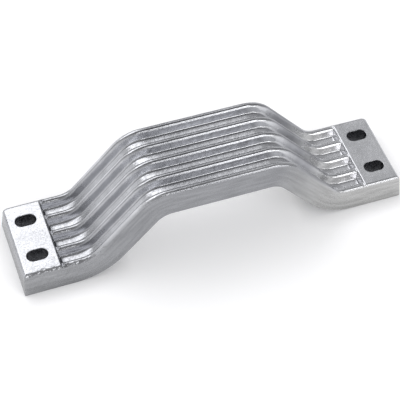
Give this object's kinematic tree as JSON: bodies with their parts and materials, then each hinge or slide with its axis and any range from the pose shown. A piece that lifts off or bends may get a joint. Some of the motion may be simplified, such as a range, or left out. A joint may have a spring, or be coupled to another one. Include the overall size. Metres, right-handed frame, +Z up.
{
  "type": "sacrificial anode",
  "caption": "Cast sacrificial anode shaped like a low bridge, with a ribbed top and a slotted foot at each end for screwing it under an outboard engine bracket.",
  "frame": {"origin": "middle of the footprint, on the mounting plane under both feet", "axes": "+X along the bar, +Y across it towards the side with the rounded upright corners, +Z up from the mounting plane"},
  "size_m": [0.2, 0.0482, 0.0481],
  "materials": {
    "cast_anode_metal": "bright as-cast metal with a fine grain"
  },
  "bodies": {
    "root": {"anode_casting": "cast_anode_metal"}
  },
  "joints": []
}
